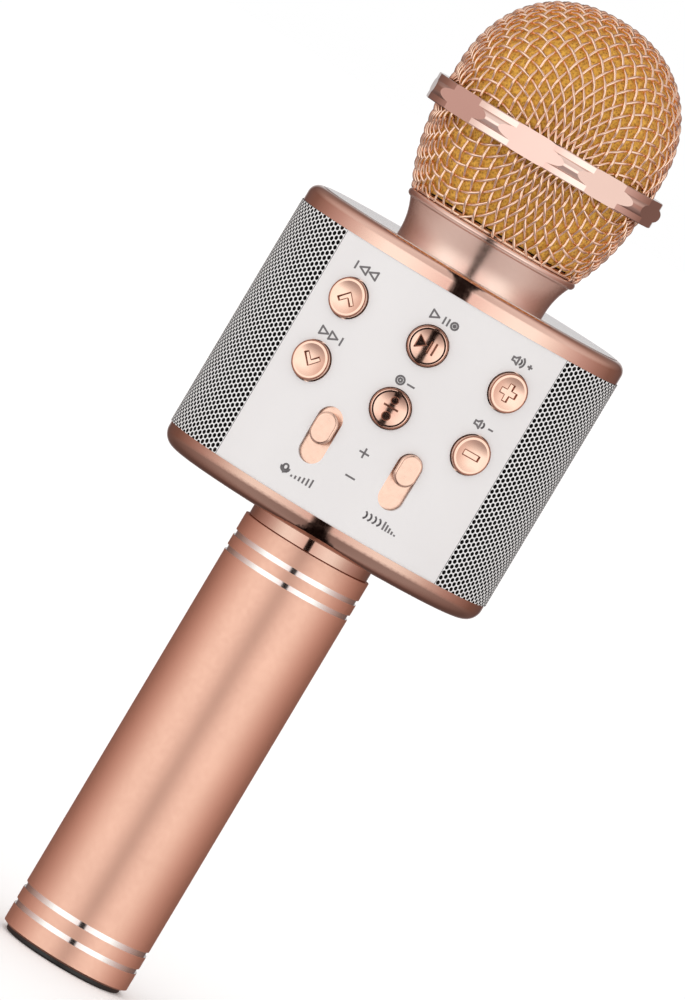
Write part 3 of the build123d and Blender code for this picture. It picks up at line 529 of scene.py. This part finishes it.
def woven_net(grid, keep, normal):
    """The wires of a plain weave through a net, as lists of path points and normals."""
    count = len(grid) - 1
    signs = range(-count, count + 1)

    def knot(i, j):
        x, y, z = grid[abs(i), abs(j)]
        return np.array((math.copysign(x, i) if i else x, math.copysign(y, j) if j else y, z))

    for family in (0, 1):
        for line in signs:
            knots = np.array([knot(k, line) if family == 0 else knot(line, k) for k in signs])
            heights = np.array([(-1) ** (k + line + family) for k in signs])
            yield from wire_runs(knots, heights, keep, normal)


def wire_runs(knots, heights, keep, normal):
    """Smooth wire paths through the knots, over and under in turn, where keep() holds."""
    path, lift = [], []
    for k in range(1, len(knots) - 2):
        before, first, second, after = knots[k - 1 : k + 3]
        for step in range(WIRE_STEPS):
            t = step / WIRE_STEPS
            path.append(
                0.5 * (2 * first + (second - before) * t
                       + (2 * before - 5 * first + 4 * second - after) * t * t
                       + (3 * first - before - 3 * second + after) * t**3)
            )
            lift.append(heights[k] * math.cos(math.pi * t))
    run_path, run_normals = [], []
    for point, rise in zip(path, lift):
        if keep(point):
            out = normal(point)
            run_path.append(point + out * rise * WIRE_CRIMP)
            run_normals.append(out)
            continue
        if len(run_path) > 3:
            yield np.array(run_path), np.array(run_normals)
        run_path, run_normals = [], []
    if len(run_path) > 3:
        yield np.array(run_path), np.array(run_normals)


def basket(name, surface, top, reach, keep, material, hem=None):
    """A pressed wire basket, as one piece in place of its plain CAD shell."""

    def normal(point):
        small = 1e-3
        value = surface(point)
        slope = np.array([surface(point + small * axis) - value for axis in np.eye(3)])
        return slope / np.linalg.norm(slope)

    grid = net_quadrant(surface, top, MESH_COUNT, reach)
    vertices, faces = [], []
    for path, normals in woven_net(grid, keep, normal):
        tube(path, normals, WIRE_RADIUS, WIRE_SIDES, vertices, faces)
    cosine, sine = math.cos(math.radians(NET_TURN)), math.sin(math.radians(NET_TURN))
    rotation = np.array(((cosine, sine, 0), (-sine, cosine, 0), (0, 0, 1)))
    if hem:
        hem_radius, height = hem
        turns = np.radians(np.arange(0, 361, 3))
        circle = hem_radius * np.stack((np.cos(turns), np.sin(turns)), 1)
        path = np.column_stack((circle, np.full(len(turns), height)))
        tube(path, np.tile((0.0, 0.0, 1.0), (len(turns), 1)), WIRE_RADIUS, WIRE_SIDES, vertices, faces)
    piece = new_piece(f"{name}_wire", np.array(vertices) @ rotation, faces, material, "head")
    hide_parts(name)


def dome_surface(point):
    """Zero on the upper basket's middle surface: a straight wall under a full dome."""
    across = math.hypot(point[0], point[1]) / (head_radius - WIRE_INSET)
    if point[2] <= DOME_CENTRE:
        return across - 1
    rise = (point[2] - DOME_CENTRE) / (head_top - WIRE_INSET - DOME_CENTRE)
    return (across**DOME_POWER + rise**DOME_POWER) ** (1 / DOME_POWER) - 1


def bowl_surface(point):
    """Zero on the lower basket's middle surface, half an ellipsoid."""
    across = math.hypot(point[0], point[1]) / (head_radius - WIRE_INSET)
    drop = (point[2] - LOWER_CENTRE) / (LOWER_SEMI_AXIS - WIRE_INSET)
    return math.hypot(across, drop) - 1


def make_baskets():
    """The upper and lower wire baskets, whose edges end under the band and the base ring."""
    wire = metal("rose_wire", (1.0, 0.73, 0.57), 0.08, 0.14)
    cut = (band_bottom + band_top) / 2
    basket(
        "upper_basket", dome_surface, head_top - WIRE_INSET,
        lambda p: p[2] > cut - 4, lambda p: p[2] > cut + 1, wire,
    )
    basket(
        "lower_basket", bowl_surface, LOWER_CENTRE - LOWER_SEMI_AXIS + WIRE_INSET,
        lambda p: p[2] < cut + 2, lambda p: basket_foot + 0.1 < p[2] < cut - 1, wire,
        hem=(HEM_RADIUS, basket_foot + WIRE_RADIUS),
    )


# ---------------------------------------------------------------- foam windscreen

FOAM_INSET = 1.48
FOAM_FOOT = 190.6
FOAM_SECTORS = 200
PORE_DEPTH = 0.22
PORE_SCALE = 1.1
HOLLOW_RADIUS = 13.9
HOLLOW_SHOULDER = 218.0


def foam_profile():
    """Radius and height up the foam's outside, over the top and down its hollow."""
    lowest = (FOAM_FOOT - LOWER_CENTRE) / (LOWER_SEMI_AXIS - FOAM_INSET)
    radius = head_radius - FOAM_INSET
    points = []
    for turn in np.linspace(math.asin(lowest), 0, 50):
        height = LOWER_CENTRE + (LOWER_SEMI_AXIS - FOAM_INSET) * math.sin(turn)
        points.append((radius * math.cos(turn), height))
    points += [(radius, height) for height in np.linspace(LOWER_CENTRE, DOME_CENTRE, 14)[1:-1]]
    for turn in np.linspace(0, math.pi / 2, 80)[:-1]:
        across = math.cos(turn) ** (2 / DOME_POWER)
        rise = math.sin(turn) ** (2 / DOME_POWER)
        points.append((radius * across, DOME_CENTRE + (head_top - FOAM_INSET - DOME_CENTRE) * rise))
    outside = len(points)
    for turn in np.linspace(math.pi / 2, 0, 12)[1:]:
        points.append((HOLLOW_RADIUS * math.cos(turn), HOLLOW_SHOULDER + HOLLOW_RADIUS * math.sin(turn)))
    points.append((HOLLOW_RADIUS, FOAM_FOOT))
    return points, outside


def make_foam(material):
    """The foam ball inside the wires: a closed body round a hollow, with a porous outside."""
    points, outside = foam_profile()
    turns = 2 * np.pi * np.arange(FOAM_SECTORS) / FOAM_SECTORS
    vertices, faces = [], []
    for number, (radius, height) in enumerate(points):
        for turn in turns:
            place = Vector((radius * math.cos(turn), radius * math.sin(turn), height))
            if 0 < number < outside:
                pores = 0.5 + 0.5 * fractal(place * PORE_SCALE, 0.7, 2.0, 3)
                place -= Vector((math.cos(turn), math.sin(turn), 0)) * PORE_DEPTH * max(0, min(1, pores))
            vertices.append(place)
    rings = len(points)
    for ring in range(rings):
        if ring == outside - 1:
            continue
        below, above = ring * FOAM_SECTORS, (ring + 1) % rings * FOAM_SECTORS
        for k in range(FOAM_SECTORS):
            after = (k + 1) % FOAM_SECTORS
            faces.append((below + k, below + after, above + after, above + k))
    for ring, flipped in ((outside - 1, False), (outside, True)):
        peak = len(vertices)
        vertices.append(Vector((0, 0, points[ring][1])))
        for k in range(FOAM_SECTORS):
            here, after = ring * FOAM_SECTORS + k, ring * FOAM_SECTORS + (k + 1) % FOAM_SECTORS
            faces.append((after, here, peak) if flipped else (here, after, peak))
    piece = new_piece("foam_ball", vertices, faces, material, "head")
    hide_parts("foam_windscreen")


# ---------------------------------------------------------------- perforated grilles

HOLE_RADIUS = 0.53
HOLE_SIDES = 12
HOLE_RISE = 1.30
GRILLE_WALL = 0.3
GRILLE_HALF_DEPTH = 33.4
FIRST_COLUMN = 0.62
SEAM_GAP = 0.1
CLOTH_DEPTH = 0.72
CLOTH_THICKNESS = 0.18
CLOTH_COLUMNS, CLOTH_ROWS = 120, 70


def ellipse_arc():
    """Arc lengths round the grille's skin from the front seam, and the angles they belong to."""
    seam = math.acos((panel_half_width + SEAM_GAP) / grille_half_width)
    angles = np.linspace(-seam, seam, 400)
    points = np.stack((grille_half_width * np.cos(angles), GRILLE_HALF_DEPTH * np.sin(angles)), 1)
    lengths = np.concatenate(([0], np.cumsum(np.linalg.norm(np.diff(points, axis=0), axis=1))))
    return lengths, angles


def make_grille(side, material, inside):
    """A perforated plate with staggered round holes, in place of one plain CAD plate; its hole walls and back
    are black, as painted shade.
    """
    name = "grille_right" if side > 0 else "grille_left"
    lengths, angles = ellipse_arc()
    width, height = lengths[-1], panel_top - panel_bottom
    pitch = HOLE_RISE * math.sqrt(3) / 2
    columns = math.ceil(width / pitch) + 1
    rows = math.ceil(height / HOLE_RISE)
    hexagon = []
    corner = HOLE_RISE / math.sqrt(3)
    for k in range(6):
        here = corner * np.array((math.cos(k * math.pi / 3), math.sin(k * math.pi / 3)))
        following = corner * np.array((math.cos((k + 1) * math.pi / 3), math.sin((k + 1) * math.pi / 3)))
        hexagon += [here, (here + following) / 2]
    hexagon = np.array(hexagon)
    turns = 2 * np.pi * np.arange(HOLE_SIDES) / HOLE_SIDES
    hole = HOLE_RADIUS * np.stack((np.cos(turns), np.sin(turns)), 1)
    cell = np.concatenate((hexagon, hole))
    vertices, faces = [], []
    for column in range(columns + 1):
        for row in range(rows + 1):
            centre = np.array((FIRST_COLUMN + (column - 1) * pitch, (row + 0.5 * (column % 2)) * HOLE_RISE))
            flat = cell + centre
            flat[:, 0] = np.clip(flat[:, 0], 0, width)
            flat[:, 1] = np.clip(flat[:, 1], 0, height)
            if np.ptp(flat[:HOLE_SIDES, 0]) < 0.01 or np.ptp(flat[:HOLE_SIDES, 1]) < 0.01:
                continue
            start = len(vertices)
            for depth in (0.0, GRILLE_WALL):
                angle = np.interp(flat[:, 0], lengths, angles)
                x = (grille_half_width - depth) * np.cos(angle)
                y = (GRILLE_HALF_DEPTH - depth) * np.sin(angle)
                vertices.extend(np.stack((side * x, y, panel_bottom + flat[:, 1]), 1))
            # a cell's four rings of points: outer rim and hole, then inner rim and hole
            rim, hole_edge, back_rim, back_hole = (start + HOLE_SIDES * ring for ring in range(4))
            for k in range(HOLE_SIDES):
                after = (k + 1) % HOLE_SIDES
                outer = (rim + k, rim + after, hole_edge + after, hole_edge + k)
                wall = (hole_edge + k, hole_edge + after, back_hole + after, back_hole + k)
                inner = (back_rim + after, back_rim + k, back_hole + k, back_hole + after)
                for face in (outer, wall, inner):
                    faces.append(face if side > 0 else face[::-1])
    piece = new_piece(f"{name}_plate", vertices, faces, material, "housing", smooth=False)
    # painted shade: the hole walls and the back are black, though the real plate is light there
    piece.data.materials.append(inside)
    for polygon in piece.data.polygons:
        on_outside = all(vertex % (4 * HOLE_SIDES) < 2 * HOLE_SIDES for vertex in polygon.vertices)
        polygon.material_index = 0 if on_outside else 1
    weld(piece)
    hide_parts(name)


def make_cloth(side, material):
    """The dust cloth stretched behind one grille, as a thin closed sheet."""
    name = "grille_cloth_right" if side > 0 else "grille_cloth_left"
    end = min(abs(low(name, X)), abs(high(name, X)))
    half_width, half_depth = grille_half_width - CLOTH_DEPTH, GRILLE_HALF_DEPTH - CLOTH_DEPTH
    seam = math.acos(end / half_width)
    columns, rows = CLOTH_COLUMNS, CLOTH_ROWS
    vertices, faces = [], []
    for depth in (0, CLOTH_THICKNESS):
        for angle in np.linspace(-seam, seam, columns):
            for height in np.linspace(low(name, Z), high(name, Z), rows):
                x, y = (half_width - depth) * math.cos(angle), (half_depth - depth) * math.sin(angle)
                vertices.append((side * x, y, height))
    layer = columns * rows
    for i in range(columns - 1):
        for k in range(rows - 1):
            a = i * rows + k
            faces.append((a, a + rows, a + rows + 1, a + 1))
            faces.append((layer + a, layer + a + 1, layer + a + rows + 1, layer + a + rows))
    for i in range(columns - 1):
        for a, flipped in ((i * rows, True), (i * rows + rows - 1, False)):
            face = (a, a + rows, layer + a + rows, layer + a)
            faces.append(face if not flipped else face[::-1])
    for k in range(rows - 1):
        for a, flipped in ((k, False), ((columns - 1) * rows + k, True)):
            face = (a, a + 1, layer + a + 1, layer + a)
            faces.append(face if not flipped else face[::-1])
    if side < 0:
        faces = [face[::-1] for face in faces]
    piece = new_piece(f"dust_cloth_{'right' if side > 0 else 'left'}", vertices, faces, material,
                      "housing")
    curve = np.array(vertices[:layer:rows])
    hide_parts(name)
    (high(name, Z) - low(name, Z)) * MM


def weld(piece):
    """Joins vertices that coincide and drops faces with no area."""
    work = bmesh.new()
    work.from_mesh(piece.data)
    bmesh.ops.remove_doubles(work, verts=work.verts, dist=1e-6)
    bmesh.ops.dissolve_degenerate(work, dist=1e-7, edges=work.edges)
    work.to_mesh(piece.data)
    work.free()


# ---------------------------------------------------------------- printed marks and icon lines

MARK_WIDTH = 0.42
MARK_THICKNESS = 0.03
MARK_SUNK = 0.01
MARK_STEP = 0.6
MARK_OVERLAP = 0.35
# The buttons' dished faces, and the fine beads on them.
BUTTON_COLUMN = 20.35
BUTTON_RISE = 0.9
DISH_DEPTH = 0.45
DISH_RADIUS = 3.7
ICON_LINE_RADIUS = 0.12
ICON_STEP = 0.5
EDGE_LINE = 4.40
EDGE_LINE_RADIUS = 0.16
EDGE_DROP = 0.12
EDGE_POINTS = 72
BEAD_SIDES = 6


def arc(x, z, radius, start, end, count=14):
    """Points of a circular arc, its angles in degrees."""
    turns = np.radians(np.linspace(start, end, count))
    return [(x + radius * math.cos(t), z + radius * math.sin(t)) for t in turns]


def box_line(x, z, width, height):
    """A closed rectangle about a centre."""
    w, h = width / 2, height / 2
    return [(x - w, z - h), (x + w, z - h), (x + w, z + h), (x - w, z + h), (x - w, z - h)]


def triangle(x, z, size, way):
    """A closed triangle that points along way, +1 to the right."""
    tip = x + way * size * 0.55
    foot = x - way * size * 0.45
    return [(foot, z - size / 2), (tip, z), (foot, z + size / 2), (foot, z - size / 2)]


def loudspeaker(x, z):
    """A small loudspeaker that faces right."""
    return [(x - 0.9, z - 0.4), (x - 0.3, z - 0.4), (x + 0.4, z - 0.95), (x + 0.4, z + 0.95),
            (x - 0.3, z + 0.4), (x - 0.9, z + 0.4), (x - 0.9, z - 0.4)]


def bars(x, z, heights, step):
    """Upright strokes of several heights on one foot line."""
    return [[(x + k * step, z - 1), (x + k * step, z - 1 + tall)] for k, tall in enumerate(heights)]


def panel_marks():
    """Generic signs above and below the controls, as strokes in the panel's x and z."""
    return [
        # back to the last track, and on to the next
        [(-22.6, 168.1), (-22.6, 170.1)], triangle(-20.6, 169.1, 1.9, -1), triangle(-18.2, 169.1, 1.9, -1),
        triangle(-21.2, 152.8, 1.9, 1), triangle(-18.8, 152.8, 1.9, 1), [(-16.8, 151.8), (-16.8, 153.8)],
        # play and pause
        triangle(-2.0, 168.6, 1.9, 1), [(0.3, 167.7), (0.3, 169.5)], [(1.3, 167.7), (1.3, 169.5)],
        arc(2.9, 168.6, 0.8, 0, 360), arc(2.9, 168.6, 0.25, 0, 360, 8),
        # record
        arc(-1.3, 152.4, 0.95, 0, 360, 18), arc(-1.3, 152.4, 0.4, 0, 360, 10), [(0.4, 152.4), (2.3, 152.4)],
        # louder and quieter
        loudspeaker(18.4, 169.1), arc(18.9, 169.1, 0.75, -50, 50), arc(18.9, 169.1, 1.4, -50, 50),
        [(21.2, 169.1), (22.4, 169.1)], [(21.8, 168.5), (21.8, 169.7)],
        loudspeaker(18.4, 152.8), arc(18.9, 152.8, 0.75, -50, 50), [(20.8, 152.8), (22.0, 152.8)],
        # microphone level
        arc(-13.2, 123.1, 0.55, 0, 180, 10) + arc(-13.2, 122.9, 0.55, 180, 360, 10) + [(-12.65, 123.1)],
        arc(-13.2, 122.9, 1.0, 180, 360, 12), [(-13.2, 121.9), (-13.2, 121.5)],
        *bars(-11.2, 122.7, (0.5, 0.8, 1.1, 1.4, 1.7, 2.0), 0.95),
        # echo
        *[arc(6.6 + 1.15 * k, 122.9, 0.95, -55, 55) for k in range(4)],
        *bars(12.0, 122.9, (2.0, 1.6, 1.2, 0.8, 0.4), 0.75),
        # more and less, beside the sliders
        [(-1.1, 134.5), (1.3, 134.5)], [(0.1, 133.3), (0.1, 135.7)], [(-1.1, 128.4), (1.3, 128.4)],
    ]


def skin_point(x, z, proud):
    """A point of the panel's skin, or proud of it."""
    y = -skin_half_depth * math.sqrt(1 - (x / skin_half_width) ** 2)
    normal = np.array((x / skin_half_width**2, y / skin_half_depth**2, 0))
    return np.array((x, y, z)) + proud * normal / np.linalg.norm(normal)


def make_marks():
    """The panel's printed signs, as thin strokes of ink that follow its curve."""
    vertices, faces = [], []
    for stroke in panel_marks():
        points = np.array(stroke, dtype=float)
        for i in range(len(points) - 1):
            first, second = points[i], points[i + 1]
            along = second - first
            length = np.linalg.norm(along)
            if length < 1e-6:
                continue
            along = along / length * MARK_WIDTH * (MARK_OVERLAP if len(points) > 2 else 0)
            first, second = first - along, second + along
            across = np.array((-(second - first)[1], (second - first)[0])) / np.linalg.norm(second - first)
            pieces = max(1, round(length / MARK_STEP))
            start = len(vertices)
            for k in range(pieces + 1):
                middle = first + (second - first) * k / pieces
                for side in (-1, 1):
                    x, z = middle + side * across * MARK_WIDTH / 2
                    vertices.append(skin_point(x, z, -MARK_SUNK))
                    vertices.append(skin_point(x, z, MARK_THICKNESS))
            for k in range(pieces):
                a, b = start + 4 * k, start + 4 * k + 4
                faces += [(a + 1, a + 3, b + 3, b + 1), (a, a + 1, b + 1, b), (a + 2, b + 2, b + 3, a + 3)]
            faces += [(start, start + 2, start + 3, start + 1), (b, b + 1, b + 3, b + 2)]
    ink = painted("mark_ink", (0.15, 0.14, 0.145), 0.5, 0.02)
    new_piece("panel_marks", vertices, faces, ink, "housing", smooth=False)


def icon_lines(name):
    """The outlines of a button's engraving, across and up its face."""
    if name in ("previous_button", "next_button"):
        way = 1 if name == "previous_button" else -1
        chevron = [(-2.3, -0.9), (0, 1.4), (2.3, -0.9), (1.5, -1.6), (0, -0.1), (-1.5, -1.6), (-2.3, -0.9)]
        return [[(x, way * z) for x, z in chevron]]
    if name == "volume_up_button":
        a, b = 0.65, 2.1
        return [[(-b, -a), (-a, -a), (-a, -b), (a, -b), (a, -a), (b, -a), (b, a), (a, a), (a, b), (-a, b),
                 (-a, a), (-b, a), (-b, -a)]]
    if name == "volume_down_button":
        return [box_line(0, 0, 4.2, 1.3)]
    if name == "play_pause_button":
        return [[(-2.6, -1.6), (-0.3, 0), (-2.6, 1.6), (-2.6, -1.6)], box_line(0.6, 0, 0.3, 2.8),
                box_line(1.7, 0, 0.3, 2.8)]
    return [arc(0, 2.0, 0.85, 0, 360, 20), box_line(0, 0.3, 3.4, 0.25), arc(0, -1.9, 1.0, 0, 360, 22)]


def make_icon_lines():
    """Fine dark beads round each button and along the outline of its engraving, as painted shade in the
    engraved grooves and the gap round the button.
    """
    # painted shade: dark rose metal for the beads that stand in for shade in the grooves and the edge gap
    ink = metal("rose_engraving", (0.42, 0.20, 0.14), 0.25, 0.4)
    for name in nodes:
        if not name.endswith("_button"):
            continue
        x, z = ((low(name, axis) + high(name, axis)) / 2 for axis in (X, Z))
        x = round(x / BUTTON_COLUMN) * BUTTON_COLUMN
        centre = skin_point(x, z, BUTTON_RISE)
        out = skin_point(x, z, 1.0) - skin_point(x, z, 0.0)
        right = np.cross((0, 0, 1), out)
        right /= np.linalg.norm(right)
        vertices, faces = [], []
        for line in icon_lines(name):
            path = []
            for (x1, z1), (x2, z2) in zip(line, line[1:]):
                steps = max(1, round(math.hypot(x2 - x1, z2 - z1) / ICON_STEP))
                path += [(x1 + (x2 - x1) * k / steps, z1 + (z2 - z1) * k / steps) for k in range(steps)]
            path.append(line[-1])
            points = []
            for across, up in path:
                sunk = DISH_DEPTH * (1 - (across**2 + up**2) / DISH_RADIUS**2)
                points.append(centre + right * across + np.array((0, 0, up)) - out * sunk)
            tube(np.array(points), np.tile(out, (len(points), 1)), ICON_LINE_RADIUS, BEAD_SIDES,
                 vertices, faces)
        # painted shadow: a dark ring in the gap round the button
        edge = [centre - out * EDGE_DROP + EDGE_LINE * (right * math.cos(t) + np.array((0, 0, math.sin(t))))
                for t in np.linspace(0, 2 * math.pi, EDGE_POINTS)]
        tube(np.array(edge), np.tile(out, (EDGE_POINTS, 1)), EDGE_LINE_RADIUS, BEAD_SIDES,
             vertices, faces)
        body = name.replace("_button", "_key")
        new_piece(f"{name}_engraving", vertices, faces, ink, body)


# ---------------------------------------------------------------- carried-over CAD nodes

# The bottoms and tops of the handle's bright grooves.
GROOVES = ((6.05, 7.25), (10.3, 11.6), (98.55, 99.7), (102.3, 103.5))


def finish_node(node, material):
    """Gives a CAD node one material."""
    slots = nodes[node].data.materials
    slots.clear()
    slots.append(material)


def dress_nodes():
    """Materials for the CAD nodes that stay."""
    buttons = [node for node in nodes if node.endswith("_button")]
    sliders = [node for node in nodes if node.endswith("_slider")]
    finishes = (
        (handle_material(GROOVES), ["handle_tube"]),
        (metal("rose_mirror", ROSE_PLATE, 0.06, 0.11), ["top_rim"]),
        # painted shade: a darker copy of the rim plating for the lower, shaded rings
        (metal("rose_mirror_painted_shade", (0.66, 0.44, 0.36), 0.07, 0.12), ["bottom_rim", "neck_ring"]),
        (metal("rose_collar", (0.86, 0.63, 0.55), 0.16, 0.22), ["collar"]),
        (metal("rose_band", (0.93, 0.72, 0.65), 0.05, 0.09), ["head_band"]),
        (metal("rose_key", (0.92, 0.63, 0.51), 0.09, 0.14), [*buttons, "power_switch_knob"]),
        (metal("rose_slider", (0.90, 0.63, 0.51), 0.20, 0.28), sliders),
        # painted shade and reflection: the base ring is coloured dark as the shade inside the wires
        (metal("rose_shaded", (0.45, 0.20, 0.11), 0.35, 0.45), ["basket_base_ring"]),
        (painted("panel_white", (0.76, 0.745, 0.745), 0.42, 0.03), ["front_panel", "rear_panel"]),
        (painted("cap_plating", (0.90, 0.91, 0.92), 0.11, 0.01, metallic=0.88), ["top_cap"]),
        (painted("black_plastic", (0.012, 0.012, 0.013), 0.35, 0.1),
         ["end_cap", "audio_jack", "power_switch_body", "body_frame", "handle_coupler", "capsule_holder",
          "collar_nut"]),
        (metal("steel", (0.62, 0.62, 0.63), 0.18, 0.3),
         ["coupler_screws", "frame_screws", "speaker_frame_left", "speaker_frame_right", "usb_socket",
          "card_slot"]),
        (metal("spring_metal", (0.75, 0.74, 0.70), 0.12, 0.2), ["battery_spring", "battery_contact"]),
        (painted("board_green", (0.012, 0.11, 0.04), 0.3, 0.15),
         ["slider_board", "key_board_centre", "side_key_boards", "main_board", "port_board"]),
        (painted("chip_black", (0.014, 0.014, 0.015), 0.45, 0.2),
         ["slider_pots", "tact_switches", "board_chips", "speaker_magnet_left", "speaker_magnet_right"]),
        (painted("cone_paper", (0.05, 0.045, 0.04), 0.85, 0.5), ["speaker_cone_left", "speaker_cone_right"]),
        (painted("lead_red", (0.42, 0.02, 0.015), 0.4, 0.05), ["battery_leads", "mic_lead", "speaker_leads"]),
        (painted("cell_wrap", (0.03, 0.12, 0.38), 0.25, 0.02), ["battery_cell"]),
        (painted("grey_plastic", (0.22, 0.22, 0.225), 0.5, 0.1), ["battery_cradle", "capsule_mount"]),
        (metal("capsule_metal", (0.70, 0.69, 0.66), 0.2, 0.32), ["mic_capsule"]),
    )
    for material, dressed in finishes:
        for node in dressed:
            finish_node(node, material)


make_view()
make_camera()
make_world()
make_floor()
dress_nodes()
make_baskets()
make_foam(foam_material())
plate = painted("grille_metal", (0.80, 0.80, 0.80), 0.42, 0.05)
# painted shade: black for the grilles' hole walls and backs
inside = plain_material("grille_holes_painted_shade", (0.01, 0.01, 0.01), roughness=0.8)
cloth = cloth_material()
for side in (-1, 1):
    make_grille(side, plate, inside)
    make_cloth(side, cloth)
make_marks()
make_icon_lines()
